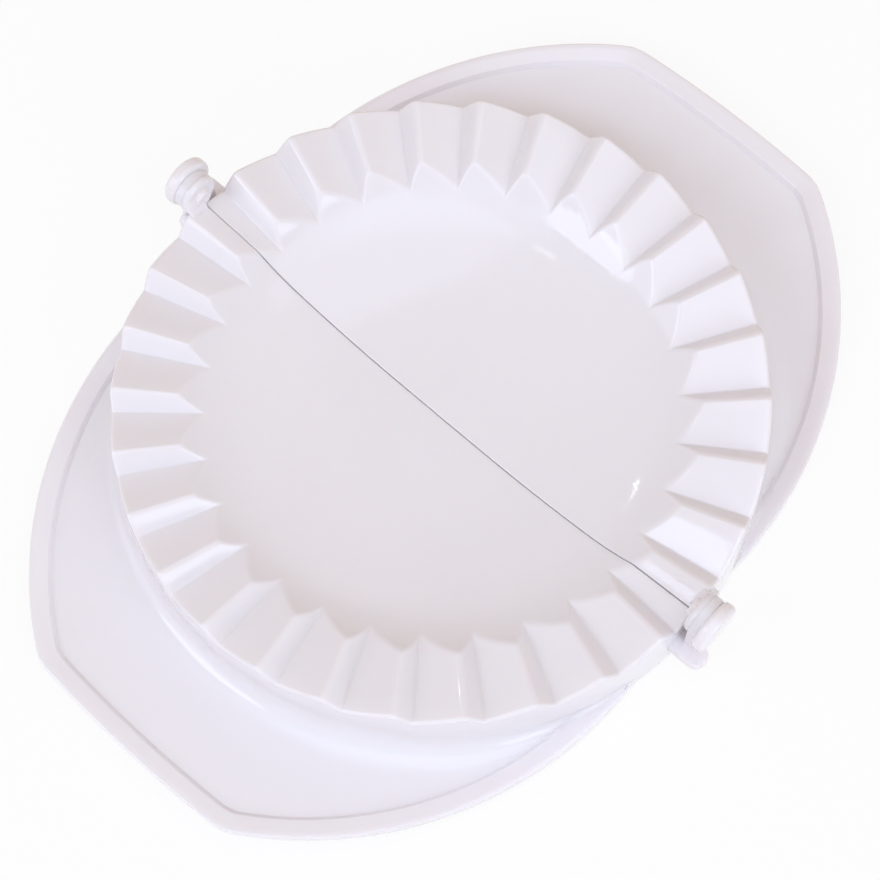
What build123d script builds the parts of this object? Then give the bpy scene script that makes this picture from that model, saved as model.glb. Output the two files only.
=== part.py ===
from build123d import *
import os
from math import cos, radians, sin, tan

os.makedirs("parts", exist_ok=True)

# A hand press for filled dough: two identical half-moon mouldings, hinged along X.
# It lies open, inside up.  Millimetres, +Z up.  The rear half lies on +Y, the front half on -Y.
# The origin is under the middle of the hinge axis, on the surface that the press stands on.
# The functions below build the rear half about the hinge axis.

# Fluted rim
rim_radius = 75.0            # outer radius of the rim, at the height of its mean surface
rim_width = 15.4             # from the bowl's mouth out to the rim's outer edge
flute_count = 15             # flutes on each half
flute_height = 4.7           # ridge to valley, at the outer edge of the rim
steep_share = 0.25           # share of each flute's angle that its steep side takes
land_slope = 0.16            # fall of the rim towards the bowl, per unit of radius
rim_tilt = 2.0               # degrees by which the rim rises away from the hinge
closing_gap = 0.5            # between the rims at their far side, when the press is shut

# Bowl, measured from the rim's mean surface
bowl_depth = 12.5
bowl_flat_radius = 12.0      # flat middle of the bowl
bowl_wall_width = 13.6       # from the turn between floor and wall out to the mouth
shoulder_rise = 4.0          # height of that turn above the flat middle
mouth_depth = 0.6            # depth at which the wall meets the ridges of the flutes

# Walls of the moulding
bowl_wall = 2.0
land_wall = 2.2              # measured straight down through the fluted rim
skirt_wall = 2.0
straight_wall = 2.0          # wall along the hinge
skirt_draft = 2.0            # degrees
hinge_gap = 0.4              # between the two straight walls
axis_height = 21.0           # hinge axis above the surface that the press stands on

# Handle: a tray with a raised lip, bending up away from the hinge
handle_length = 29.5         # from the rim to the handle's far edge
crown_radius = 350.0         # of that far edge
side_radius = 93.2           # of each side edge
side_inset = 1.2             # of the handle's widest place, inside the rim's outer radius
widest_out = 23.2            # that place, out from the hinge axis
corner_radius = 10.0
tray_start = 8.0             # where the tray starts, inside the skirt
lip_fall = 17.5              # from the hinge axis down to the lip, where it is lowest
bend_start = 20.0            # out from the hinge axis
bend_rise = 5.25             # by which the lip has risen at the handle's far edge
lip_height = 2.0             # of the lip above the tray's floor
lip_wall_height = 3.5        # outside of the lip, top to bottom
lip_top_width = 1.2
lip_slope_width = 3.8        # of the slope from the lip's top down to the floor
lip_step = 0.1               # what is left of the step at that slope's foot
cove_radius = 1.8            # between the skirt and the tray's floor

# Hinge peg, at the right end of the rear half
barrel_radius = 3.9
collar_radius = 5.0          # plate at the barrel's root
root_radius = 7.0            # reach of the root's web, out from the hinge axis
root_depth = 10.3            # of that web, below the hinge axis
root_thickness = 1.2
peg_standoff = 0.4           # from the rim to the start of the peg
head_radius = 6.2
head_offset = 0.7            # of the head's centre, towards the other half
head_thickness = 3.1
head_rounding = 0.9

# Hinge hook, at the left end of the rear half
clip_radius = 5.1            # outside of the clip round the other half's barrel
clip_thickness = 2.1
clip_mouth_width = 6.6       # narrower than the barrel, which snaps in
clip_mouth_fall = 40.0       # degrees below level, in which the mouth points to the other half
running_clearance = 0.08     # round the barrel in the clip
end_clearance = 0.25         # along the axis, on each side of the clip
arm_drop = 10.3              # from the hinge axis down to the arm's top
arm_thickness = 3.2
arm_near = 2.8               # of the arm's edge that is nearer to the hinge axis, from it
arm_far = 8.2                # of its other edge
arm_overhang = 1.2           # by which the arm passes the other half's head
arm_rounding = 2.6

# Worked out from the sizes above
slack = 5.0                  # by which a cutting tool passes what it cuts
span = 4 * rim_radius        # larger than the whole press
reach = rim_radius + slack
pitch = 180.0 / flute_count
narrow = pitch * steep_share
wide = pitch - narrow
rim_drop = rim_radius * tan(radians(rim_tilt)) + closing_gap / 2
side_start = hinge_gap / 2
base = -axis_height
mouth_radius = rim_radius - rim_width
shoulder_radius = mouth_radius - bowl_wall_width
tray_reach = rim_radius + handle_length
side_centre_across = side_radius + side_inset - rim_radius
bend_run = tray_reach - bend_start
bend_radius = (bend_run**2 + bend_rise**2) / (2 * bend_rise)

wall_middle = rim_radius - skirt_wall / 2
peg_start = rim_radius + peg_standoff
root_end = peg_start + root_thickness
clip_start = root_end + end_clearance
clip_end = clip_start + clip_thickness
head_start = clip_end + end_clearance
head_end = head_start + head_thickness
arm_end = head_end + arm_overhang


def block(low_x, high_x, low_y, high_y, low_z, high_z):
    """A box from its lowest to its highest corner."""
    middle = Pos((low_x + high_x) / 2, (low_y + high_y) / 2, (low_z + high_z) / 2)
    return middle * Box(high_x - low_x, high_y - low_y, high_z - low_z)


def half_space(start):
    """Everything further out from the hinge than start."""
    return block(-span, span, start, span, -span, span)


def above(height):
    """Everything above a height."""
    return block(-span, span, -span, span, height, span)


def rod(radius, low_x, high_x):
    """A cylinder along the hinge axis."""
    return Pos((low_x + high_x) / 2, 0, 0) * Rot(0, 90, 0) * Cylinder(radius, high_x - low_x)


def rim_corner(angle, swing, radius, lowering):
    """A point of the fluted rim; swing is 1 on a ridge and -1 in a valley."""
    across = radius * cos(radians(angle))
    out = radius * sin(radians(angle))
    mean = -rim_drop - land_slope * (rim_radius - reach) + out * tan(radians(rim_tilt))
    return (across, out, mean + swing * flute_height / 2 * reach / rim_radius - lowering)


def under_rim(lowering):
    """Everything under the fluted rim, out to reach: its facets all pass through one apex."""
    mid_radius = reach * cos(radians(wide / 2))
    corners = [rim_corner(0, 0, mid_radius, lowering)]
    for index in range(flute_count):
        ridge = wide / 2 + index * pitch
        corners.append(rim_corner(ridge, 1, reach, lowering))
        corners.append(rim_corner(ridge + narrow, -1, reach, lowering))
    corners.append(rim_corner(180, 0, mid_radius, lowering))
    apex = (0, 0, -rim_drop - land_slope * rim_radius - lowering)
    feet = [(x, y, base - slack) for x, y, z in corners]
    outlines = [[apex, corners[0], feet[0], feet[-1], corners[-1]], feet]
    for near, far, far_foot, near_foot in zip(corners, corners[1:], feet[1:], feet):
        outlines.append([apex, near, far])
        outlines.append([near, far, far_foot, near_foot])
    faces = []
    for outline in outlines:
        faces.append(Face(Wire.make_polygon([Vector(*point) for point in outline])))
    return Solid(Shell(faces))


def skirt_cone(inset):
    """Everything within the skirt's outer surface, moved inwards by inset."""
    lift = axis_height + slack - rim_drop
    foot = rim_radius - inset + lift * tan(radians(skirt_draft))
    height = lift + rim_drop + slack
    crown = foot - height * tan(radians(skirt_draft))
    return Pos(0, 0, base - slack + height / 2) * Cone(foot, crown, height)


def bowl_profile(wall):
    """Right half of the bowl's section, from its floor up past the rim, grown by a wall."""
    true_floor_end = Vector(bowl_flat_radius, -bowl_depth)
    true_shoulder = Vector(shoulder_radius, shoulder_rise - bowl_depth)
    true_mouth = Vector(mouth_radius, -mouth_depth)
    lean = TangentArc(true_floor_end, true_shoulder, tangent=(1, 0)) % 1
    flare = TangentArc(true_shoulder, true_mouth, tangent=lean) % 1
    floor_end = true_floor_end + Vector(0, -wall)
    shoulder = true_shoulder + Vector(lean.Y, -lean.X) * wall
    mouth = true_mouth + Vector(flare.Y, -flare.X) * wall
    lip = mouth + flare * (2 * slack / flare.Y)
    flat = Line((0, floor_end.Y), floor_end)
    shallow = TangentArc(floor_end, shoulder, tangent=(1, 0))
    steep = TangentArc(shoulder, mouth, tangent=lean)
    rest = Polyline(mouth, lip, (0, lip.Y), (0, floor_end.Y))
    return make_face([flat, shallow, steep, rest])


def bowl_space(wall):
    """The bowl's hollow, grown by a wall."""
    turned = revolve(Plane.YZ * mirror(bowl_profile(wall), about=Plane.YZ), axis=Axis.Z)
    return Pos(0, 0, -rim_drop) * Rot(rim_tilt, 0, 0) * turned


def underside():
    """The hollow under the bowl and the rim, inside the skirt."""
    hollow = skirt_cone(skirt_wall) & under_rim(land_wall)
    hollow &= half_space(side_start + straight_wall)
    return hollow - bowl_space(bowl_wall)


def tray_outline(inset):
    """Plan of the handle, moved inwards by inset."""
    crown = Pos(0, tray_reach - crown_radius) * Circle(crown_radius - inset)
    right = Pos(-side_centre_across, widest_out) * Circle(side_radius - inset)
    left = Pos(side_centre_across, widest_out) * Circle(side_radius - inset)
    plan = crown & right & left & (Pos(0, tray_start + span / 2) * Rectangle(span, span))
    far_corners = plan.vertices().sort_by(Axis.Y)[-2:]
    return fillet(far_corners, corner_radius)


def tray_column(inset):
    """The handle's plan, moved inwards by inset, from far below to the hinge axis."""
    return extrude(Pos(0, 0, -span) * tray_outline(inset), span)


def under_lip(lowering):
    """Everything under the bent surface through the lip's top, lowered."""
    bend = Pos(0, bend_start, bend_radius - lip_fall - lowering)
    roller = bend * Rot(0, 90, 0) * Cylinder(bend_radius, span)
    bent = block(-span / 2, span / 2, bend_start, span, -span, 0) - roller
    return bent + block(-span / 2, span / 2, -span, bend_start, -span, -lip_fall - lowering)


def tray():
    """The handle: a floor, and a lip that slopes up from it."""
    plate = tray_column(0) & (under_lip(0) - under_lip(lip_wall_height))
    pocket = tray_column(lip_top_width + lip_slope_width) - under_lip(lip_height)
    stepped = plate - pocket
    brink = new_edges(plate, pocket, combined=stepped)
    return chamfer(brink, length=lip_slope_width, length2=lip_height - lip_step)


def body():
    """Skirt and handle, with a cove between them, and solid up to the hinge axis."""
    post = skirt_cone(0) & half_space(side_start) & block(-span, span, -span, span, base, 0)
    handle = tray() & above(base)
    joined = post + handle
    seam = new_edges(post, handle, combined=joined).filter_by_position(Axis.Z, base, 0)
    floor_seam = seam.sort_by(SortBy.LENGTH)[-2:].sort_by(Axis.Z)[-1]
    return fillet(floor_seam, cove_radius)


def shell():
    """Bowl, fluted rim, skirt, straight wall and handle: open underneath."""
    over_rim = skirt_cone(-slack / 2) - under_rim(0)
    return body() - over_rim - bowl_space(0) - underside()


def peg():
    """Barrel and head at the right end, with the root that carries them."""
    barrel = rod(barrel_radius, peg_start, head_end)
    collar = rod(collar_radius, peg_start, root_end)
    head = Pos(0, -head_offset, 0) * rod(head_radius, head_start, head_end)
    head = fillet(head.edges().filter_by(GeomType.CIRCLE), head_rounding)
    web = rod(root_radius, wall_middle, root_end) & half_space(side_start)
    web += block(wall_middle, root_end, side_start, root_radius, -root_depth, 0)
    return barrel + collar + head + (web & under_rim(0))


def hook():
    """Clip for the other half's barrel, on an arm from the skirt, at the left end."""
    bottom = -arm_drop - arm_thickness
    arm = block(wall_middle, arm_end, arm_near, arm_far, bottom, -arm_drop)
    corners = arm.edges().filter_by(Axis.Z).sort_by(Axis.X)[-2:]
    arm = fillet(corners, arm_rounding)
    arm += block(wall_middle, clip_end, side_start, arm_near, bottom, -arm_drop)
    pillar = block(clip_start, clip_end, side_start, clip_radius, bottom, 0)
    clip = rod(clip_radius, clip_start, clip_end)
    bore = rod(barrel_radius + running_clearance, peg_start, head_start)
    half_mouth = clip_mouth_width / 2
    mouth = Rot(clip_mouth_fall, 0, 0) * block(peg_start, head_start, -reach, 0, -half_mouth, half_mouth)
    return mirror(arm + pillar + clip - bore - mouth, about=Plane.YZ)


def press_half():
    """One moulding, about the hinge axis."""
    return shell() + peg() + hook()


rear_half = Pos(0, 0, axis_height) * press_half()
front_half = Rot(0, 0, 180) * rear_half

export_step(rear_half, "parts/rear_press_half.step")
export_step(front_half, "parts/front_press_half.step")
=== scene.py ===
from math import asin, atan2, cos, degrees, hypot, pi, radians, sin, sqrt, tan

import bmesh
import bpy
import numpy as np
from mathutils import Matrix, Vector


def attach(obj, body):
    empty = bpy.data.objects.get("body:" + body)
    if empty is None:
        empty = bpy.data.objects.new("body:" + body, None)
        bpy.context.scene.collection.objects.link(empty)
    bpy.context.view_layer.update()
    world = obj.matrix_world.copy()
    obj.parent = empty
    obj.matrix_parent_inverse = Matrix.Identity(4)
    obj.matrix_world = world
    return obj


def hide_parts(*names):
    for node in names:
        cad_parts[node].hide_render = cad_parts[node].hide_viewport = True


# A dough press: two identical half-moon mouldings on one hinge, lying open.
# Each half is one closed skin.  It is built in millimetres about the hinge axis, for the rear half,
# from profiles that run out along rays from the middle of the hinge.

MM = 0.001

# Fluted rim
RIM_RADIUS = 75.0
RIM_WIDTH = 15.4
FLUTE_COUNT = 15
FLUTE_HEIGHT = 4.7
STEEP_SHARE = 0.25
LAND_SLOPE = 0.16
RIM_TILT = radians(2.0)
CLOSING_GAP = 0.5
LAND_WALL = 2.2
RIDGE_SOFTNESS = 1.8         # difference in height over which two facets blend at a ridge
VALLEY_SOFTNESS = 0.45       # the same, at a valley
RIM_EDGE_RADIUS = 0.8
UNDER_RIM_ROUNDING = 0.6     # of the corner between the hollow and the inside of the skirt

# Bowl
BOWL_DEPTH = 12.5
BOWL_FLAT = 12.0
BOWL_WALL_WIDTH = 13.6
SHOULDER_RISE = 4.0
MOUTH_DEPTH = 0.6
BOWL_WALL = 2.0
MOUTH_SOFTNESS = 0.7

# Skirt and straight wall
SKIRT_WALL = 2.0
STRAIGHT_WALL = 2.0
SKIRT_DRAFT = tan(radians(2.0))
SEEN_GAP = 0.13              # between the straight walls, at their upper edges
AXIS_HEIGHT = 21.0
BRINK_RADIUS = 0.4           # of the edges along the hinge
FOOT_RADIUS = 0.35

# Handle
HANDLE_LENGTH = 29.48
CROWN_RADIUS = 350.0
SIDE_RADIUS = 93.2
SIDE_INSET = 1.2
WIDEST_OUT = 23.2
CORNER_RADIUS = 10.0
LIP_FALL = 17.5
BEND_START = 20.0
BEND_RISE = 5.25
LIP_HEIGHT = 2.0
LIP_WALL_HEIGHT = 3.5
LIP_TOP_WIDTH = 1.2
LIP_SLOPE_WIDTH = 3.8
LIP_STEP_WIDTH = 0.8         # of the steep foot of that slope
LIP_STEP_HEIGHT = 1.25
COVE_RADIUS = 6.0
COVE_SHARE = 0.4             # most of the tray's width that the cove takes, where the tray is narrow
LIP_EDGE_RADIUS = 0.5

# Hinge peg and hook
BARREL_RADIUS = 3.9
COLLAR_RADIUS = 5.05
COLLAR_ROUNDING = 1.4        # of its end by the rim
COLLAR_STANDOFF = 0.15       # from the rim to that end
CORE_RADIUS = 2.0            # of the peg where it starts, inside the skirt's wall
CORE_FLARE = 2.6             # of the peg where the collar starts
PEG_STANDOFF = 0.4
ROOT_THICKNESS = 1.2
ROOT_DEPTH = 10.3
ROOT_RADIUS = 7.0
WEB_FALL = 1.6               # from the rim down to the web's outer edge
WEB_OVERLAP = 0.1            # of the web and the collar
WEB_SETBACK = 0.35           # from the collar's end to the web
WEB_INSET = 0.02             # from the root's end back to the web's
SHELF_CHAMFER = 1.0          # of the shelf's outer corner, under the rim
SHELF_FALL = 0.2             # from the rim down to the shelf, by the hinge
SHELF_OUTER_FALL = 0.3       # the same, by the chamfer
SHELF_INSET = 0.2            # from the root's end back to the shelf's
HEAD_RADIUS = 6.2
HEAD_OFFSET = 0.7
HEAD_THICKNESS = 3.1
HEAD_ROUNDING = 1.1
CLIP_RADIUS = 5.05
CLIP_THICKNESS = 2.1
CLIP_MOUTH_WIDTH = 6.6
CLIP_MOUTH_FALL = radians(40.0)
RUNNING_CLEARANCE = 0.08
END_CLEARANCE = 0.25
SEEN_CLEARANCE = 0.015       # what is left of it at the rounded-over ends
ARM_DROP = 10.3
ARM_THICKNESS = 3.2
ARM_NEAR = 2.8
ARM_FAR = 8.2
ARM_OVERHANG = 1.2
ARM_ROUNDING = 2.6
NECK_OVERLAP = 1.0           # of the arm and the neck that joins it to the clip
SMALL_ROUNDING = 0.35
TINY_ROUNDING = 0.05

# Ramp from the collar down to the rim
BLEND_LENGTH = 3.8
BLEND_FOOT = -3.6            # height of the two points in which it closes, inside the rim
BLEND_HUB_OUT = 0.4          # of these points, out from the hinge axis
BLEND_HUB_STEP = 0.1         # from the collar's end by the rim to the nearer of them
BLEND_LOW = -62.0            # degrees above level, round the collar, at which it starts
BLEND_FULL = 80.0            # at which it starts to fade out
BLEND_END = 98.0             # at which it has faded out
BLEND_SINK = 0.015           # of its start below the collar's surface
BLEND_GROUND_OUT = 0.1       # farther out than itself, where it reads the rim's height
BLEND_GROUND_SINK = 0.15     # of its end below the rim
BLEND_ROWS = 13              # points from the collar to the end of the ramp
BLEND_RINGS = 61             # of them, one for each direction round the collar

# Where the stations of a profile lie, from the middle of the hinge out and back underneath
BOWL_SHARES = (0.04, 0.2, 0.3, 0.4, 0.5, 0.6, 0.68, 0.75, 0.8, 0.84, 0.88, 0.91, 0.94, 0.97, 1.0)
BOWL_MARGIN = 2.4            # from the last of them out to the bowl's mouth
MOUTH_OFFSETS = (-1.7, -1.15, -0.75, -0.45, -0.2, 0.0, 0.2, 0.45, 0.75, 1.15, 1.8, 3.0)  # from the mouth
RIM_SHARES = (0.3, 0.6, 0.88)
SKIRT_TOP = 1.0              # from the rim's edge down to the first station on the skirt
SKIRT_SHARES = (0.0, 0.15, 0.35, 0.6, 0.8, 1.0)
COVE_TURNS = (12, 24, 36, 48, 60, 72, 90)
FLOOR_SHARES = (0.15, 0.3, 0.45, 0.6, 0.75, 0.9, 1.0)
FLOOR_MARGIN = 0.6           # from the last of them out to the foot of the lip's slope
LIP_INSETS = (5.15, 5.0, 4.9, 4.6, 4.32, 4.2, 4.05, 3.0, 1.7, 1.35, 1.05)
UNDERSIDE_SHARES = (0.5, 1.0)
INNER_WALL_SHARES = (0.3, 0.6, 0.9)
HOLLOW_SHARES = (0.985, 0.96, 0.93, 0.9, 0.87, 0.84, 0.82, 0.8, 0.78, 0.75, 0.71, 0.66, 0.6, 0.5, 0.4, 0.3,
                 0.2, 0.04)

# How finely the skin is made
CREASE_OFFSETS = (0.0, 0.12, 0.26, 0.42, 0.6, 0.9)  # of rays beside a crease, in mm at the rim's edge
STEEP_RAYS = 3               # on the steep side of a flute
WIDE_RAYS = 6                # on the other side
END_RAYS = 4                 # on the half facets at the hinge
RAY_SPACING = 0.05           # least angle between two rays, in degrees
SIDE_START = -24.0           # degrees from +X, round the side edge's centre, at which its arc starts
SIDE_POINTS = 120            # on each side edge
END_POINTS = 40              # on each corner, and on each half of the far edge
MOUTH_SEARCH = (46.0, 66.0)  # radii between which the bowl's mouth is found
MOUTH_PASSES = 30            # halvings in that search
BOWL_PASSES = 6              # rounds in which the tilted bowl's height settles
EDGE_PASSES = 4              # rounds in which the rim's edge settles
SLOPE_STEP = 0.5             # distance over which a surface's slope is taken
ROUND_STEPS = 72             # round a turned piece
SHARP_ANGLE = 40.0           # degrees between faces above which an edge is shaded sharp
MERGE_DISTANCE = 0.004       # within which points of a skin become one
COLLAPSE_DISTANCE = 0.002    # below which an edge is taken away
DISTINCT_DISTANCE = 0.01     # between neighbours on the line where the skin is closed
LEAST_ROUNDING = 1e-4        # of the lip, where there is no tray
TINY = 1e-6                  # keeps a divisor from zero, and below it a radius counts as zero
TINIEST = 1e-9               # keeps a length from zero

# Worked out from the sizes above
WALL_MIDDLE = RIM_RADIUS - SKIRT_WALL / 2
PEG_START = RIM_RADIUS + PEG_STANDOFF
COLLAR_START = RIM_RADIUS + COLLAR_STANDOFF
ROOT_END = PEG_START + ROOT_THICKNESS
CLIP_START = ROOT_END + END_CLEARANCE
CLIP_END = CLIP_START + CLIP_THICKNESS
HEAD_START = CLIP_END + END_CLEARANCE
HEAD_END = HEAD_START + HEAD_THICKNESS
ARM_END = HEAD_END + ARM_OVERHANG
PITCH = 180.0 / FLUTE_COUNT
NARROW = PITCH * STEEP_SHARE
WIDE = PITCH - NARROW
RIM_DROP = RIM_RADIUS * tan(RIM_TILT) + CLOSING_GAP / 2
APEX = -RIM_DROP - LAND_SLOPE * RIM_RADIUS
BASE = -AXIS_HEIGHT
OUTER_START = SEEN_GAP / 2
INNER_START = OUTER_START + STRAIGHT_WALL
TRAY_REACH = RIM_RADIUS + HANDLE_LENGTH
BEND_RUN = TRAY_REACH - BEND_START
BEND_RADIUS = (BEND_RUN**2 + BEND_RISE**2) / (2 * BEND_RISE)


# ---------------------------------------------------------------- surfaces

def crease_slope(angle, swing):
    """Rise of a ridge (swing 1) or a valley (swing -1), per unit of distance from the apex."""
    return LAND_SLOPE + np.sin(np.radians(angle)) * tan(RIM_TILT) + swing * FLUTE_HEIGHT / 2 / RIM_RADIUS


def facet_plane(start, end, start_slope, end_slope):
    """Gradient of the plane through the apex and two creases."""
    a = np.array([[cos(radians(start)), sin(radians(start))], [cos(radians(end)), sin(radians(end))]])
    return np.linalg.solve(a, np.array([start_slope, end_slope]))


def crease_angles():
    """Angles of the creases in turn: ridge, valley, ridge, valley."""
    ridges = [WIDE / 2 + index * PITCH for index in range(FLUTE_COUNT)]
    return [angle for ridge in ridges for angle in (ridge, ridge + NARROW)]


def facet_planes():
    """One gradient for each facet, from the first half facet to the last."""
    creases = crease_angles()
    planes = [facet_plane(-WIDE / 2, creases[0], crease_slope(-WIDE / 2, -1), crease_slope(creases[0], 1))]
    for index in range(len(creases) - 1):
        swing = 1 if index % 2 == 0 else -1
        start, end = creases[index], creases[index + 1]
        planes.append(facet_plane(start, end, crease_slope(start, swing), crease_slope(end, -swing)))
    last = creases[-1]
    planes.append(facet_plane(last, last + WIDE, crease_slope(last, -1), crease_slope(last + WIDE, 1)))
    return np.array(planes)


CREASES = np.array(crease_angles())
PLANES = facet_planes()


def blend_depth(gap, softness):
    """How far a soft corner between two surfaces lies inside the sharp one."""
    share = np.maximum(softness - np.abs(gap), 0.0) / softness
    return share * share * softness / 4


def rim_height(x, y):
    """Height of the fluted rim above a point."""
    angle = np.degrees(np.arctan2(y, x))
    facet = np.clip(np.searchsorted(CREASES, angle), 0, len(PLANES) - 1)
    here = APEX + PLANES[facet, 0] * x + PLANES[facet, 1] * y
    height = here.copy()
    for step in (-1, 1):
        other = np.clip(facet + step, 0, len(PLANES) - 1)
        there = APEX + PLANES[other, 0] * x + PLANES[other, 1] * y
        crease = np.minimum(facet, other)
        ridge = (crease % 2 == 0) & (other != facet)
        valley = (crease % 2 == 1) & (other != facet)
        height = height - np.where(ridge, blend_depth(here - there, RIDGE_SOFTNESS), 0.0)
        height = height + np.where(valley, blend_depth(here - there, VALLEY_SOFTNESS), 0.0)
    return height


def bowl_section():
    """Centres and radii of the two arcs of the bowl's section, and where the second one ends."""
    shoulder = RIM_RADIUS - RIM_WIDTH - BOWL_WALL_WIDTH
    run = shoulder - BOWL_FLAT
    first = (run**2 + SHOULDER_RISE**2) / (2 * SHOULDER_RISE)
    lean = atan2(run, first - SHOULDER_RISE)
    across = BOWL_WALL_WIDTH
    up = BOWL_DEPTH - SHOULDER_RISE - MOUTH_DEPTH
    second = (across**2 + up**2) / (2 * (up * cos(lean) - across * sin(lean)))
    middle = (shoulder - second * sin(lean), SHOULDER_RISE - BOWL_DEPTH + second * cos(lean))
    flare = atan2(shoulder + across - middle[0], middle[1] + MOUTH_DEPTH)
    return first, lean, second, middle, flare


FIRST_ARC, LEAN, SECOND_ARC, ARC_MIDDLE, FLARE = bowl_section()


def bowl_curve(radius, wall):
    """Height of the bowl's section at a radius, moved out by a wall."""
    first = FIRST_ARC + wall
    second = SECOND_ARC + wall
    shoulder = BOWL_FLAT + first * sin(LEAN)
    mouth = ARC_MIDDLE[0] + second * sin(FLARE)
    first_run = np.clip(radius - BOWL_FLAT, 0, first * sin(LEAN))
    second_run = np.clip(radius - ARC_MIDDLE[0], 0, second * sin(FLARE))
    shallow = FIRST_ARC - BOWL_DEPTH - np.sqrt(first**2 - first_run**2)
    steep = ARC_MIDDLE[1] - np.sqrt(second**2 - second_run**2)
    beyond = steep + np.maximum(radius - mouth, 0) * tan(FLARE)
    return np.where(radius < shoulder, shallow, beyond)


def bowl_height(x, y, wall):
    """Height of the tilted bowl above a point."""
    low = -BOWL_DEPTH * np.ones_like(x)
    for _ in range(BOWL_PASSES):
        out = (y + low * sin(RIM_TILT)) / cos(RIM_TILT)
        low = bowl_curve(np.hypot(x, out), wall)
    return out * sin(RIM_TILT) + low * cos(RIM_TILT) - RIM_DROP


def top_height(x, y):
    """Height of the inside that takes the dough: bowl and fluted rim."""
    rim = rim_height(x, y)
    bowl = bowl_height(x, y, 0)
    return np.minimum(rim, bowl) - blend_depth(rim - bowl, MOUTH_SOFTNESS)


def ceiling_height(x, y):
    """Height of the hollow underneath."""
    rim = rim_height(x, y) - LAND_WALL
    bowl = bowl_height(x, y, BOWL_WALL)
    return np.minimum(rim, bowl) - blend_depth(rim - bowl, MOUTH_SOFTNESS)


def skirt_radius(height, inset=0.0):
    """Radius of the skirt's cone at a height, moved inwards."""
    return RIM_RADIUS - inset - (height + RIM_DROP) * SKIRT_DRAFT


def bend(y):
    """Rise of the handle away from the hinge."""
    return BEND_RADIUS - np.sqrt(BEND_RADIUS**2 - np.clip(y - BEND_START, 0, None)**2)


# ---------------------------------------------------------------- rays

def ray_angles():
    """Angles of the rays, which lie close together at the creases."""
    per_mm = degrees(1 / RIM_RADIUS)
    angles = [0.0, 180.0]
    for crease in CREASES:
        for offset in CREASE_OFFSETS:
            angles += [crease - offset * per_mm, crease + offset * per_mm]
    for ridge in CREASES[::2]:
        angles += list(np.linspace(ridge + per_mm, ridge + NARROW - per_mm, STEEP_RAYS))
    edges = [0.0] + list(CREASES) + [180.0]
    for start, end in zip(edges[::2], edges[1::2]):
        count = WIDE_RAYS if end - start > PITCH / 2 else END_RAYS
        angles += list(np.linspace(start + per_mm, end - per_mm, count))
    angles = np.unique(np.round(np.clip(angles, 0, 180), 5))
    keep = [angles[0]]
    for angle in angles[1:]:
        if angle - keep[-1] > RAY_SPACING:
            keep.append(angle)
    keep[-1] = 180.0
    return np.array(keep)


def arc_points(middle, radius, start, end, count):
    """Points on an arc between two directions in degrees."""
    turn = np.radians(np.linspace(start, end, count))
    return np.stack([middle[0] + radius * np.cos(turn), middle[1] + radius * np.sin(turn)], 1)


def handle_outline():
    """Right half of the handle's plan, from the hinge to the middle, with its normals."""
    side = (RIM_RADIUS - SIDE_INSET - SIDE_RADIUS, WIDEST_OUT)
    crown = (0.0, TRAY_REACH - CROWN_RADIUS)
    inner_side, inner_crown = SIDE_RADIUS - CORNER_RADIUS, CROWN_RADIUS - CORNER_RADIUS
    dx, dy = crown[0] - side[0], crown[1] - side[1]
    apart = hypot(dx, dy)
    along = (inner_side**2 - inner_crown**2 + apart**2) / (2 * apart)
    off = sqrt(inner_side**2 - along**2)
    ux, uy = dx / apart, dy / apart
    choices = [(side[0] + along * ux + s * off * uy, side[1] + along * uy - s * off * ux) for s in (1, -1)]
    corner = max(choices, key=lambda point: point[1])
    side_end = degrees(atan2(corner[1] - side[1], corner[0] - side[0]))
    crown_start = degrees(atan2(corner[1] - crown[1], corner[0] - crown[0]))
    pieces = [(side, SIDE_RADIUS, SIDE_START, side_end, SIDE_POINTS),
              (corner, CORNER_RADIUS, side_end, crown_start, END_POINTS),
              (crown, CROWN_RADIUS, crown_start, 90.0, END_POINTS)]
    points = np.concatenate([arc_points(*piece) for piece in pieces])
    normals = np.concatenate([arc_points((0, 0), 1, *piece[2:]) for piece in pieces])
    return points, normals


OUTLINE, OUTLINE_NORMALS = handle_outline()


def handle_radius(rays, inset):
    """Distance along each ray to the handle's plan moved inwards."""
    points = OUTLINE - OUTLINE_NORMALS * inset
    turn = np.degrees(np.arctan2(points[:, 1] - rays.start, points[:, 0]))
    mirrored = np.where(rays.angles > 90, 180 - rays.angles, rays.angles)
    return np.interp(mirrored, turn, np.hypot(points[:, 0], points[:, 1] - rays.start))


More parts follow.
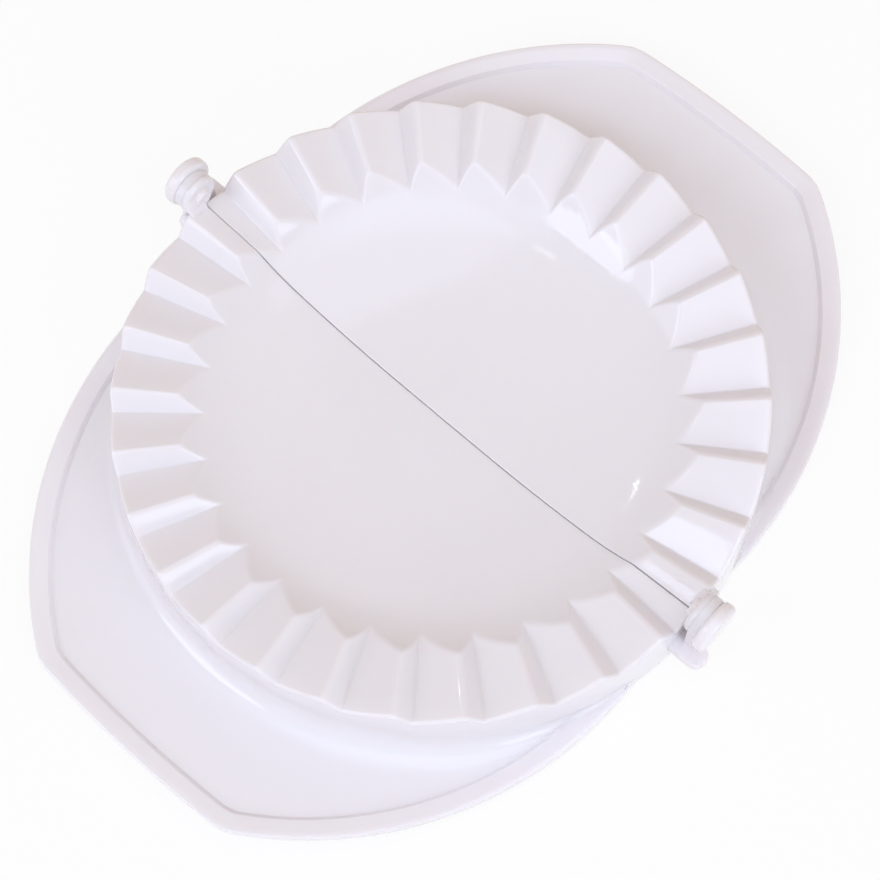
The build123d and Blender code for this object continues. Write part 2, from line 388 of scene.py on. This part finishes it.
class Rays:
    """Profiles on a fan of rays; every station is one (radius, height) pair for each ray."""

    def __init__(self, angles, start):
        self.angles = angles
        self.start = start
        self.cos = np.cos(np.radians(angles))
        self.sin = np.sin(np.radians(angles))
        self.stations = []

    def place(self, radius):
        """Point on each ray at a radius."""
        return radius * self.cos, self.start + radius * self.sin

    def add(self, radius, height):
        """One more station."""
        self.stations.append((radius * np.ones_like(self.cos), height * np.ones_like(self.cos)))

    def surface(self, radius, function):
        """One more station, on a surface given by its height."""
        x, y = self.place(radius * np.ones_like(self.cos))
        self.add(radius, function(x, y))

    def reach(self, height, inset=0.0):
        """Radius along each ray to the skirt's cone, at a height."""
        cone = skirt_radius(height, inset)
        return np.sqrt(cone**2 - (self.start * self.cos)**2) - self.start * self.sin

    def rounded(self, before, corner, after, radius, count):
        """An arc in each ray's own plane, round a corner between two directions."""
        before = before / np.linalg.norm(before, axis=1, keepdims=True)
        after = after / np.linalg.norm(after, axis=1, keepdims=True)
        turn = np.arccos(np.clip((before * after).sum(1), -1, 1))
        length = radius * np.tan(turn / 2)
        first = corner - before * length[:, None]
        last = corner + after * length[:, None]
        middle = (first + last) / 2
        inward = middle - corner
        size = np.maximum(np.linalg.norm(inward, axis=1, keepdims=True), TINIEST)
        centre = corner + inward / size * (radius / np.maximum(np.cos(turn / 2), TINY))[:, None]
        spoke = first - centre
        side = np.sign(before[:, 0] * after[:, 1] - before[:, 1] * after[:, 0])
        for share in np.linspace(0, 1, count):
            swing = side * turn * share
            c, s = np.cos(swing), np.sin(swing)
            self.add(centre[:, 0] + spoke[:, 0] * c - spoke[:, 1] * s,
                     centre[:, 1] + spoke[:, 0] * s + spoke[:, 1] * c)

    def grid(self):
        """All the points, station by station."""
        rows = []
        for radius, height in self.stations:
            x, y = self.place(radius)
            rows.append(np.stack([x, y, height], 1))
        return np.array(rows)


def pairs(x, y):
    """One pair for each ray."""
    return np.stack(np.broadcast_arrays(x, y), 1).astype(float)


def mouth_radius(rays):
    """Where the bowl's wall meets the fluted rim, on each ray."""
    low = MOUTH_SEARCH[0] * np.ones_like(rays.cos)
    high = MOUTH_SEARCH[1] * np.ones_like(rays.cos)
    for _ in range(MOUTH_PASSES):
        middle = (low + high) / 2
        x, y = rays.place(middle)
        inside = bowl_height(x, y, 0) < rim_height(x, y)
        low = np.where(inside, middle, low)
        high = np.where(inside, high, middle)
    return low


def tray_height(inset, y):
    """Top of the handle, at a distance inwards from its edge."""
    gentle = LIP_SLOPE_WIDTH - LIP_STEP_WIDTH
    slope = np.clip((inset - LIP_TOP_WIDTH) / gentle, 0, 1) * (LIP_HEIGHT - LIP_STEP_HEIGHT)
    step = np.clip((inset - LIP_TOP_WIDTH - gentle) / LIP_STEP_WIDTH, 0, 1) * LIP_STEP_HEIGHT
    return -LIP_FALL - slope - step + bend(y)


def outer_stations(rays):
    """Bowl, rim, skirt, handle and foot, seen from outside."""
    mouth = mouth_radius(rays)
    inside = mouth - BOWL_MARGIN
    for share in BOWL_SHARES:
        rays.surface(inside * share, top_height)
    for offset in MOUTH_OFFSETS:
        rays.surface(mouth + offset, top_height)
    edge = RIM_RADIUS * np.ones_like(rays.cos)
    for _ in range(EDGE_PASSES):
        x, y = rays.place(edge)
        height = rim_height(x, y)
        edge = rays.reach(height)
    x, y = rays.place(edge - SLOPE_STEP)
    rise = (height - rim_height(x, y)) / SLOPE_STEP
    rim_start = mouth + MOUTH_OFFSETS[-1]
    for share in RIM_SHARES:
        rays.surface(rim_start + (edge - RIM_EDGE_RADIUS * 2 - rim_start) * share, top_height)
    down = pairs(SKIRT_DRAFT, -1.0 * np.ones_like(edge))
    rays.rounded(pairs(1.0, rise), pairs(edge, height), down, RIM_EDGE_RADIUS, count=6)

    # where the handle leaves the skirt
    skirt = rays.reach(-LIP_FALL * np.ones_like(edge))
    x, y = rays.place(skirt)
    outline = handle_radius(rays, 0.0)
    stand = np.maximum(outline - skirt, 0.0)
    foot_of_slope = handle_radius(rays, LIP_TOP_WIDTH + LIP_SLOPE_WIDTH)
    cove = np.minimum(COVE_RADIUS, COVE_SHARE * stand)
    level = tray_height(np.clip(stand, 0, LIP_TOP_WIDTH + LIP_SLOPE_WIDTH), y)

    def cove_lift(radius):
        """Rise of the cove above the tray."""
        free = np.clip(radius - skirt, 0, None)
        share = np.clip(1 - free / np.maximum(cove, TINY), 0, 1)
        return cove * (1 - np.sqrt(1 - share**2)) * (cove > TINY)

    top_of_skirt = height - SKIRT_TOP
    bottom_of_skirt = level + cove
    for share in SKIRT_SHARES:
        there = top_of_skirt + (bottom_of_skirt - top_of_skirt) * share
        radius = rays.reach(there)
        radius = radius + (skirt - radius) * share
        rays.add(radius, there)

    def tray_station(radius):
        """One more station on the tray, or on the skirt where there is no tray."""
        radius = np.maximum(radius, skirt)
        x, y = rays.place(radius)
        inset = np.clip((outline - radius) / np.maximum(outline - foot_of_slope, TINY), 0, 1)
        inset = inset * (LIP_TOP_WIDTH + LIP_SLOPE_WIDTH)
        inset = np.where(stand > 0, inset, 0)
        rays.add(radius, tray_height(inset, y) + cove_lift(radius))

    for turn in COVE_TURNS:
        tray_station(skirt + cove * (1 - cos(radians(turn))))
    floor_start = skirt + cove
    floor_end = np.maximum(foot_of_slope - FLOOR_MARGIN, floor_start)
    for share in FLOOR_SHARES:
        tray_station(floor_start + (floor_end - floor_start) * share)
    for inset in LIP_INSETS:
        tray_station(np.maximum(handle_radius(rays, inset), floor_end))

    # lip's outer edge and wall, and the underside back to the skirt's foot
    ones = np.ones_like(edge)
    wall = np.maximum(outline, skirt)
    x, y = rays.place(wall)
    lip_top = -LIP_FALL + bend(y)
    lip_foot = lip_top - LIP_WALL_HEIGHT
    edge_radius = np.maximum(np.minimum(LIP_EDGE_RADIUS, stand), LEAST_ROUNDING)
    rays.rounded(pairs(1.0, 0 * ones), pairs(wall, lip_top), pairs(0.0, -ones), edge_radius, count=5)
    foot = rays.reach(lip_foot)
    wall_low = np.maximum(outline, foot)
    back = pairs(-1.0, 0 * ones)
    rays.rounded(pairs(0.0, -ones), pairs(wall_low, lip_foot), back, FOOT_RADIUS * ones, count=4)
    under_end = np.minimum(foot, wall_low - FOOT_RADIUS)
    for share in UNDERSIDE_SHARES:
        there = wall_low - FOOT_RADIUS + (under_end - wall_low + FOOT_RADIUS) * share
        x, y = rays.place(there)
        rays.add(there, bend(y) - LIP_FALL - LIP_WALL_HEIGHT)
    rays.add(np.minimum(rays.reach(BASE * ones), under_end), BASE * ones)


def inner_stations(rays):
    """Foot, inside of the skirt and the hollow underneath."""
    ones = np.ones_like(rays.cos)
    rays.add(rays.reach(BASE * ones, SKIRT_WALL), BASE * ones)
    edge = (RIM_RADIUS - SKIRT_WALL) * ones
    for _ in range(EDGE_PASSES):
        x, y = rays.place(edge)
        height = ceiling_height(x, y)
        edge = rays.reach(height, SKIRT_WALL)
    x, y = rays.place(edge - SLOPE_STEP)
    fall = (ceiling_height(x, y) - height) / SLOPE_STEP
    for share in INNER_WALL_SHARES:
        there = BASE + (height - BASE) * share
        rays.add(rays.reach(there, SKIRT_WALL), there)
    back = pairs(-1.0, fall)
    rays.rounded(pairs(-SKIRT_DRAFT, ones), pairs(edge, height), back, UNDER_RIM_ROUNDING, count=4)
    for share in HOLLOW_SHARES:
        rays.surface(edge * share, ceiling_height)


# ---------------------------------------------------------------- skin

class Skin:
    """A mesh under construction."""

    def __init__(self):
        self.points = []
        self.faces = []

    def add(self, point):
        """One more point; gives its number."""
        self.points.append(tuple(float(value) for value in point))
        return len(self.points) - 1

    def row(self, points):
        """Numbers of a row of new points."""
        return [self.add(point) for point in points]

    def face(self, *corners):
        """A face, unless fewer than three of its corners differ."""
        kept = []
        for corner in corners:
            if corner not in kept:
                kept.append(corner)
        if len(kept) > 2:
            self.faces.append(tuple(kept))

    def strip(self, first, second):
        """Quads between two rows of the same length."""
        for a, b, c, d in zip(first, first[1:], second[1:], second):
            self.face(a, b, c, d)

    def bmesh(self):
        """The mesh, with points that nearly coincide merged, facing outwards."""
        made = bmesh.new()
        verts = [made.verts.new(point) for point in self.points]
        for corners in self.faces:
            made.faces.new([verts[corner] for corner in corners])
        bmesh.ops.remove_doubles(made, verts=made.verts, dist=MERGE_DISTANCE)
        bmesh.ops.dissolve_degenerate(made, dist=COLLAPSE_DISTANCE, edges=made.edges)
        bmesh.ops.recalc_face_normals(made, faces=made.faces)
        if made.calc_volume(signed=True) < 0:
            bmesh.ops.reverse_faces(made, faces=made.faces)
        return made


def distinct(points, line):
    """The line without neighbours that coincide."""
    kept = [line[0]]
    for index in line[1:]:
        if np.linalg.norm(np.subtract(points[index], points[kept[-1]])) > DISTINCT_DISTANCE:
            kept.append(index)
    return kept


def boundary_roll(points, radius, count):
    """Rows that turn the skin's edge from its own plane into the straight wall's plane."""
    flat = points[:, [0, 2]]
    step = np.diff(flat, axis=0)
    step = step / np.linalg.norm(step, axis=1, keepdims=True)
    along = np.concatenate([step[:1], step[:-1] + step[1:], step[-1:]])
    along = along / np.linalg.norm(along, axis=1, keepdims=True)
    inward = np.stack([along[:, 1], -along[:, 0]], 1)
    rows = []
    for turn in np.radians(np.linspace(0, 90, count)[1:]):
        row = points.copy()
        row[:, [0, 2]] = flat + inward * radius * (1 - cos(turn))
        row[:, 1] = points[:, 1] - radius * sin(turn)
        rows.append(row)
    return rows


def half_skin():
    """The moulding without its hinge ends, as one closed skin."""
    angles = ray_angles()
    outer = Rays(angles, OUTER_START + BRINK_RADIUS)
    outer_stations(outer)
    inner = Rays(angles, INNER_START)
    inner_stations(inner)
    skin = Skin()
    outside = [skin.row(row) for row in outer.grid()]
    inside = [skin.row(row) for row in inner.grid()]
    rows = outside + inside
    for first, second in zip(rows, rows[1:]):
        skin.strip(first, second)
    pole = skin.add((0, outer.start, top_height(np.zeros(1), np.array([outer.start]))[0]))
    for a, b in zip(outside[0], outside[0][1:]):
        skin.face(pole, a, b)
    under_pole = skin.add((0, inner.start, ceiling_height(np.zeros(1), np.array([inner.start]))[0]))
    for a, b in zip(inside[-1], inside[-1][1:]):
        skin.face(a, b, under_pole)

    # the edge along the hinge rolls over into the straight wall
    brink = [row[-1] for row in reversed(outside)] + [pole] + [row[0] for row in outside]
    brink = distinct(skin.points, brink)
    line = np.array([skin.points[index] for index in brink])
    left_end, right_end = [brink[0]], [brink[-1]]
    for row in boundary_roll(line, BRINK_RADIUS, count=5):
        current = skin.row(row)
        skin.strip(brink, current)
        brink = current
        left_end.append(current[0])
        right_end.append(current[-1])
    skin.face(*brink)
    hollow = [row[-1] for row in inside] + [under_pole] + [row[0] for row in reversed(inside)]
    skin.face(*distinct(skin.points, hollow))
    skin.face(*left_end, *reversed(right_end), hollow[-1], hollow[0])
    return skin


# ---------------------------------------------------------------- hinge ends

def corner_arc(x, radius, rounding, start, count):
    """Points of a rounded corner of a turned profile; start is the direction of its first point."""
    turn = np.radians(np.linspace(start, start - 90, count))
    return [(x + rounding * cos(t), radius + rounding * sin(t)) for t in turn]


def turned(profile, centre=(0.0, 0.0)):
    """A closed solid of revolution about an axis along the hinge."""
    skin = Skin()
    rings = []
    for x, radius in profile:
        if radius < TINY:
            rings.append([skin.add((x, centre[0], centre[1]))] * (ROUND_STEPS + 1))
            continue
        turns = [radians(360 * step / ROUND_STEPS) for step in range(ROUND_STEPS)]
        ring = [skin.add((x, centre[0] + radius * cos(t), centre[1] + radius * sin(t))) for t in turns]
        rings.append(ring + ring[:1])
    for first, second in zip(rings, rings[1:]):
        skin.strip(first, second)
    return skin.bmesh()


def prism(outline, axis, low, high, rounding, sharp_angle=20.0):
    """An outline pushed along an axis, with its edges rounded."""
    made = bmesh.new()
    order = {"x": lambda a, b, c: (c, a, b), "z": lambda a, b, c: (a, b, c)}[axis]
    verts = [made.verts.new(order(a, b, low)) for a, b in outline]
    base = made.faces.new(verts)
    grown = bmesh.ops.extrude_face_region(made, geom=[base])
    moved = [item for item in grown["geom"] if isinstance(item, bmesh.types.BMVert)]
    bmesh.ops.translate(made, verts=moved, vec=order(0, 0, high - low))
    bmesh.ops.recalc_face_normals(made, faces=made.faces)
    edges = [edge for edge in made.edges if edge.calc_face_angle(0) > radians(sharp_angle)]
    bmesh.ops.bevel(made, geom=edges, offset=rounding, segments=4, profile=0.5, affect="EDGES",
                    clamp_overlap=True)
    return made


def ease(share):
    """A share from 0 to 1 that starts and stops softly."""
    return share * share * (3 - 2 * share)


def collar_blend():
    """Ramp from the collar down to its own corner of the rim; it fades out over the other half's corner."""
    skin = Skin()
    share = np.linspace(0, 1, BLEND_ROWS)
    quarter = share * pi / 2
    dome_x = COLLAR_START + COLLAR_ROUNDING * (1 - np.sin(quarter))
    dome_r = COLLAR_RADIUS - BLEND_SINK - COLLAR_ROUNDING * (1 - np.cos(quarter))
    ramp_x = COLLAR_START + COLLAR_ROUNDING - BLEND_LENGTH * share
    fall = ease(share)
    near_hub = skin.add((dome_x[0], BLEND_HUB_OUT, BLEND_FOOT))
    far_hub = skin.add((dome_x[-1] + BLEND_HUB_STEP, BLEND_HUB_OUT, BLEND_FOOT))
    rings = []
    for turn in np.radians(np.linspace(BLEND_LOW, BLEND_END, BLEND_RINGS)):
        c, s = cos(turn), sin(turn)
        fade = ease(min(max((BLEND_END - degrees(turn)) / (BLEND_END - BLEND_FULL), 0.0), 1.0))
        side, top = dome_r[0] * c, dome_r[0] * s
        rim = rim_height(ramp_x[-1:], np.array([abs(side) + BLEND_GROUND_OUT]))[0]
        ground = min(rim - BLEND_GROUND_SINK, top)
        x = dome_x + (ramp_x - dome_x) * fade
        y = dome_r * c + (side - dome_r * c) * fade
        z = dome_r * s + (top + (ground - top) * fall - dome_r * s) * fade
        rings.append([near_hub] + skin.row(zip(x, y, z)) + [far_hub])
    for first, second in zip(rings, rings[1:]):
        skin.strip(first, second)
    for ring in (rings[0], rings[-1]):
        for first, second in zip(ring[1:], ring[2:]):
            skin.face(near_hub, first, second)
    return skin.bmesh()


def peg_parts():
    """Root, barrel and head, at the right end of the rear half."""
    dome_x = COLLAR_START + COLLAR_ROUNDING
    dome = corner_arc(dome_x, COLLAR_RADIUS - COLLAR_ROUNDING, COLLAR_ROUNDING, 180, count=9)
    root_end = CLIP_START - SEEN_CLEARANCE
    rim = corner_arc(root_end - TINY_ROUNDING, COLLAR_RADIUS - TINY_ROUNDING, TINY_ROUNDING, 90, count=4)
    middle = HEAD_END - HEAD_THICKNESS / 2
    barrel = [(WALL_MIDDLE, 0.0), (WALL_MIDDLE, CORE_RADIUS), (COLLAR_START, CORE_FLARE)] + dome + rim
    barrel += [(root_end, BARREL_RADIUS), (middle, BARREL_RADIUS), (middle, 0.0)]
    head_start = CLIP_END + SEEN_CLEARANCE
    corner_radius = HEAD_RADIUS - HEAD_ROUNDING
    near = [(head_start, 0.0), (head_start, corner_radius)]
    near += corner_arc(head_start + HEAD_ROUNDING, corner_radius, HEAD_ROUNDING, 180, count=7)[1:]
    far = corner_arc(HEAD_END - HEAD_ROUNDING, corner_radius, HEAD_ROUNDING, 90, count=7)
    head = near + far + [(HEAD_END, 0.0)]
    low = rim_height(WALL_MIDDLE * np.ones(1), np.zeros(1))[0]
    high = rim_height(WALL_MIDDLE * np.ones(1), np.array([ROOT_RADIUS]))[0]
    web = [(OUTER_START, -ROOT_DEPTH), (ROOT_RADIUS, -ROOT_DEPTH), (ROOT_RADIUS, high - WEB_FALL)]
    sweep = np.radians(np.linspace(0, 90, 7))
    hollow = ROOT_RADIUS - COLLAR_RADIUS + WEB_OVERLAP
    web += [(ROOT_RADIUS - hollow * sin(t), high - WEB_FALL + (WEB_FALL - high) * (1 - cos(t)))
            for t in sweep[1:]]
    web += [(OUTER_START, 0.0)]
    shelf = [(OUTER_START, -ROOT_DEPTH), (ROOT_RADIUS, -ROOT_DEPTH), (ROOT_RADIUS, high - SHELF_CHAMFER),
             (ROOT_RADIUS - SHELF_CHAMFER, high - SHELF_OUTER_FALL), (OUTER_START, low - SHELF_FALL)]
    return [turned(barrel), collar_blend(), turned(head, (-HEAD_OFFSET, 0.0)),
            prism(web, "x", COLLAR_START + WEB_SETBACK, ROOT_END - WEB_INSET, SMALL_ROUNDING,
                  sharp_angle=45.0),
            prism(shelf, "x", WALL_MIDDLE, ROOT_END - SHELF_INSET, SMALL_ROUNDING)]


def hook_parts():
    """Clip round the other half's barrel, on an arm from the skirt, at the left end of the rear half."""
    bottom = -ARM_DROP - ARM_THICKNESS
    corner = [(ARM_ROUNDING * cos(t), ARM_ROUNDING * sin(t)) for t in np.radians(np.linspace(0, 90, 9))]
    reach, near, far = -ARM_END, ARM_NEAR, ARM_FAR
    arm = [(-WALL_MIDDLE, near), (-WALL_MIDDLE, far)]
    arm += [(reach + ARM_ROUNDING - a, far - ARM_ROUNDING + b) for a, b in reversed(corner)]
    arm += [(reach + ARM_ROUNDING - a, near + ARM_ROUNDING - b) for a, b in corner]
    neck_edge = near + NECK_OVERLAP
    neck = [(-WALL_MIDDLE, OUTER_START), (-WALL_MIDDLE, neck_edge), (-CLIP_END, neck_edge),
            (-CLIP_END, OUTER_START)]
    bore = BARREL_RADIUS + RUNNING_CLEARANCE
    half = CLIP_MOUTH_WIDTH / 2
    mouth = pi + CLIP_MOUTH_FALL
    outer = np.linspace(0, mouth - asin(half / CLIP_RADIUS), 40)
    outer = [(CLIP_RADIUS * cos(t), CLIP_RADIUS * sin(t)) for t in outer]
    inner = np.linspace(mouth - asin(half / bore), mouth + asin(half / bore) - 2 * pi, 52)
    inner = [(bore * cos(t), bore * sin(t)) for t in inner]
    low_tip = mouth + asin(half / CLIP_RADIUS)
    clip = [(OUTER_START, bottom), (CLIP_RADIUS, bottom)] + outer + inner
    clip += [(CLIP_RADIUS * cos(low_tip), CLIP_RADIUS * sin(low_tip)), (OUTER_START, -CLIP_RADIUS)]
    return [prism(arm, "z", bottom, -ARM_DROP, SMALL_ROUNDING, sharp_angle=45.0),
            prism(neck, "z", bottom + TINY_ROUNDING, -ARM_DROP - TINY_ROUNDING, TINY_ROUNDING),
            prism(clip, "x", -CLIP_END, -CLIP_START, TINY_ROUNDING, sharp_angle=45.0)]


def add_object(name, data):
    """A new object in the scene."""
    obj = bpy.data.objects.new(name, data)
    bpy.context.scene.collection.objects.link(obj)
    return obj


def make_object(name, made):
    """A new mesh object, which uses the bmesh up."""
    mesh = bpy.data.meshes.new(name)
    made.to_mesh(mesh)
    made.free()
    return add_object(name, mesh)


def apply_modifiers(obj):
    """Makes what the object's modifiers show its own mesh."""
    bpy.context.view_layer.update()
    graph = bpy.context.evaluated_depsgraph_get()
    mesh = bpy.data.meshes.new_from_object(obj.evaluated_get(graph))
    obj.modifiers.clear()
    obj.data = mesh


def union(target, parts):
    """Joins closed parts to the target, one after another."""
    for index, part in enumerate(parts):
        tool = make_object(f"tool_{index}", part)
        modifier = target.modifiers.new("union", "BOOLEAN")
        modifier.operation = "UNION"
        modifier.solver = "MANIFOLD"
        modifier.object = tool
        apply_modifiers(target)
        bpy.data.objects.remove(tool)


def finish_mesh(obj):
    """Smooth shading that stays sharp where the moulding has a true edge."""
    mesh = obj.data
    mesh.shade_smooth()
    mesh.set_sharp_from_angle(angle=radians(SHARP_ANGLE))
    modifier = obj.modifiers.new("weighted", "WEIGHTED_NORMAL")
    modifier.keep_sharp = True
    modifier.weight = 50
    apply_modifiers(obj)


def add_half(name, node, body, turn, material):
    """One moulding, in the place of its CAD node."""
    obj = make_object(name, half_skin().bmesh())
    union(obj, peg_parts() + hook_parts())
    place = Matrix.Rotation(turn, 4, "Z") @ Matrix.Scale(MM, 4) @ Matrix.Translation((0, 0, AXIS_HEIGHT))
    obj.data.transform(place)
    finish_mesh(obj)
    obj.data.name = name
    obj.data.materials.clear()
    obj.data.materials.append(material)
    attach(obj, body)
    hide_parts(node)
    return obj


# ---------------------------------------------------------------- scene

bpy.context.scene.view_settings.view_transform = "Standard"
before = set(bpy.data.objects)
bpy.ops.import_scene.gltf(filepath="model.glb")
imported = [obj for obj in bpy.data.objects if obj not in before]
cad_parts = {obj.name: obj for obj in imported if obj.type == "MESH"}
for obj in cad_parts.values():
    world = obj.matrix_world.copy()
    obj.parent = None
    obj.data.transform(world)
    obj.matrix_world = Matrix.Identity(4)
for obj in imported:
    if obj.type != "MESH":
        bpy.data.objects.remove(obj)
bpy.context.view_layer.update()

CAMERA_AIM = Vector((7.49, -7.97, 21.0)) * MM
CAMERA_DISTANCE = 459.0 * MM
CAMERA_ELEVATION = radians(70.57)
CAMERA_AZIMUTH = radians(-42.32)
CAMERA_ROLL = radians(6.02)
CAMERA_LENS = 83.785
CAMERA_SENSOR = 36.0
CAMERA_CLIP = 0.01


def add_camera():
    """Looks down on the press from the side of the front half."""
    data = bpy.data.cameras.new("camera")
    data.lens = CAMERA_LENS
    data.sensor_width = CAMERA_SENSOR
    data.clip_start = CAMERA_CLIP
    camera = add_object("camera", data)
    back = Vector((cos(CAMERA_ELEVATION) * cos(CAMERA_AZIMUTH), cos(CAMERA_ELEVATION) * sin(CAMERA_AZIMUTH),
                   sin(CAMERA_ELEVATION)))
    turn = back.to_track_quat("Z", "Y").to_matrix()
    turn = turn @ Matrix.Rotation(-CAMERA_ROLL, 3, "Z")
    camera.matrix_world = Matrix.Translation(CAMERA_AIM + back * CAMERA_DISTANCE) @ turn.to_4x4()
    bpy.context.scene.camera = camera


def node(tree, kind, **sockets):
    """A shader node with some of its inputs set."""
    made = tree.nodes.new(kind)
    for name, value in sockets.items():
        made.inputs[name.replace("_", " ")].default_value = value
    return made


PLASTIC_LIGHT = (0.87, 0.845, 0.875, 1.0)
PLASTIC_DARK = (0.855, 0.82, 0.845, 1.0)


def plastic():
    """Glossy pale polypropylene: milky inside, with a faint orange peel and slightly uneven gloss."""
    material = bpy.data.materials.new("moulded_plastic")
    material.use_nodes = True
    tree = material.node_tree
    shader = tree.nodes["Principled BSDF"]
    place = tree.nodes.new("ShaderNodeTexCoord")
    cloud = node(tree, "ShaderNodeTexNoise", Scale=28.0, Detail=3.0)
    tint = tree.nodes.new("ShaderNodeMixRGB")
    tint.inputs["Color1"].default_value = PLASTIC_DARK
    tint.inputs["Color2"].default_value = PLASTIC_LIGHT
    tree.links.new(place.outputs["Object"], cloud.inputs["Vector"])
    tree.links.new(cloud.outputs["Fac"], tint.inputs["Fac"])
    tree.links.new(tint.outputs["Color"], shader.inputs["Base Color"])
    gloss = node(tree, "ShaderNodeTexNoise", Scale=60.0, Detail=4.0)
    spread = node(tree, "ShaderNodeMapRange", To_Min=0.06, To_Max=0.09)
    tree.links.new(place.outputs["Object"], gloss.inputs["Vector"])
    tree.links.new(gloss.outputs["Fac"], spread.inputs["Value"])
    tree.links.new(spread.outputs["Result"], shader.inputs["Roughness"])
    peel = node(tree, "ShaderNodeTexNoise", Scale=420.0, Detail=2.0)
    bump = node(tree, "ShaderNodeBump", Strength=0.12, Distance=0.0001)
    tree.links.new(place.outputs["Object"], peel.inputs["Vector"])
    tree.links.new(peel.outputs["Fac"], bump.inputs["Height"])
    tree.links.new(bump.outputs["Normal"], shader.inputs["Normal"])
    shader.inputs["IOR"].default_value = 1.49
    shader.inputs["Subsurface Weight"].default_value = 0.25
    shader.inputs["Subsurface Radius"].default_value = (1.0, 0.8, 0.7)
    shader.inputs["Subsurface Scale"].default_value = 0.003
    return material


def seen_share(tree):
    """1 for the rays that show the surroundings: seen by the camera, mirrored, or through something clear."""
    path = tree.nodes.new("ShaderNodeLightPath")
    total = path.outputs["Is Camera Ray"]
    for kind in ("Is Glossy Ray", "Is Transmission Ray"):
        more = tree.nodes.new("ShaderNodeMath")
        more.operation = "ADD"
        more.use_clamp = True
        tree.links.new(total, more.inputs[0])
        tree.links.new(path.outputs[kind], more.inputs[1])
        total = more.outputs[0]
    return total


FLOOR_SIZE = 3.0
FLOOR_COLOUR = (0.97, 0.96, 0.97, 1.0)
FLOOR_WHITENESS = 0.86


def add_floor():
    """A plain pale floor, which the camera sees nearly white with the press's shadow on it."""
    mesh = bpy.data.meshes.new("floor")
    half = FLOOR_SIZE / 2
    corners = [(-half, -half, 0), (half, -half, 0), (half, half, 0), (-half, half, 0)]
    mesh.from_pydata(corners, [], [(0, 1, 2, 3)])
    floor = add_object("floor", mesh)
    material = bpy.data.materials.new("floor")
    material.use_nodes = True
    tree = material.node_tree
    shader = tree.nodes["Principled BSDF"]
    shader.inputs["Base Color"].default_value = FLOOR_COLOUR
    shader.inputs["Roughness"].default_value = 0.9
    shader.inputs["Specular IOR Level"].default_value = 0.1
    glow = node(tree, "ShaderNodeEmission", Color=(1, 1, 1, 1), Strength=1.0)
    share = tree.nodes.new("ShaderNodeMath")
    share.operation = "MULTIPLY"
    share.inputs[1].default_value = FLOOR_WHITENESS
    mix = tree.nodes.new("ShaderNodeMixShader")
    tree.links.new(seen_share(tree), share.inputs[0])
    tree.links.new(share.outputs[0], mix.inputs["Fac"])
    tree.links.new(shader.outputs["BSDF"], mix.inputs[1])
    tree.links.new(glow.outputs["Emission"], mix.inputs[2])
    tree.links.new(mix.outputs["Shader"], tree.nodes["Material Output"].inputs["Surface"])
    mesh.materials.append(material)


WORLD_COLOUR = (1.0, 0.82, 0.62, 1.0)
WORLD_STRENGTH = 0.48


def add_world():
    """Dim warm surroundings, which the camera sees as white."""
    world = bpy.data.worlds.new("world")
    bpy.context.scene.world = world
    world.use_nodes = True
    tree = world.node_tree
    tree.nodes.clear()
    around = node(tree, "ShaderNodeBackground", Color=WORLD_COLOUR, Strength=WORLD_STRENGTH)
    seen = node(tree, "ShaderNodeBackground", Color=(1, 1, 1, 1), Strength=1.0)
    mix = tree.nodes.new("ShaderNodeMixShader")
    output = tree.nodes.new("ShaderNodeOutputWorld")
    tree.links.new(seen_share(tree), mix.inputs["Fac"])
    tree.links.new(around.outputs[0], mix.inputs[1])
    tree.links.new(seen.outputs[0], mix.inputs[2])
    tree.links.new(mix.outputs[0], output.inputs["Surface"])


LAMP_DISTANCE = 0.9

# name, azimuth, elevation, diameter in metres, power in watts, colour
LAMPS = (
    ("left", 235, 22, 0.65, 1.45, (0.66, 0.78, 1.0)),
    ("window", 250, 45, 0.42, 1.6, (0.7, 0.81, 1.0)),
    ("right", 353, 24, 0.6, 2.8, (0.66, 0.81, 1.0)),
    ("low_overhead", 300, 66, 0.7, 0.8, (0.6, 0.73, 1.0)),
    ("overhead", 350, 74, 0.8, 1.8, (0.7, 0.78, 1.0)),
    ("top", 90, 45, 0.9, 0.55, (1.0, 0.86, 0.9)),
    ("spark", 175, 49, 0.022, 0.1, (1.0, 1.0, 1.0)),
    ("glint", 224, 75, 0.04, 0.012, (1.0, 1.0, 1.0)),
)


def add_lamp(name, azimuth, elevation, size, power, colour):
    """A soft round lamp that looks at the press from a direction, in degrees from +X and above the floor."""
    data = bpy.data.lights.new(name, "AREA")
    data.shape = "DISK"
    data.size = size
    data.energy = power
    data.color = colour
    lamp = add_object(name, data)
    turn, lift = radians(azimuth), radians(elevation)
    back = Vector((cos(lift) * cos(turn), cos(lift) * sin(turn), sin(lift)))
    facing = back.to_track_quat("Z", "Y").to_matrix().to_4x4()
    lamp.matrix_world = Matrix.Translation(back * LAMP_DISTANCE) @ facing


add_camera()
add_floor()
add_world()
for lamp in LAMPS:
    add_lamp(*lamp)
finish = plastic()
add_half("rear_moulding", "rear_press_half", "rear_half", 0.0, finish)
add_half("front_moulding", "front_press_half", "front_half", radians(180), finish)
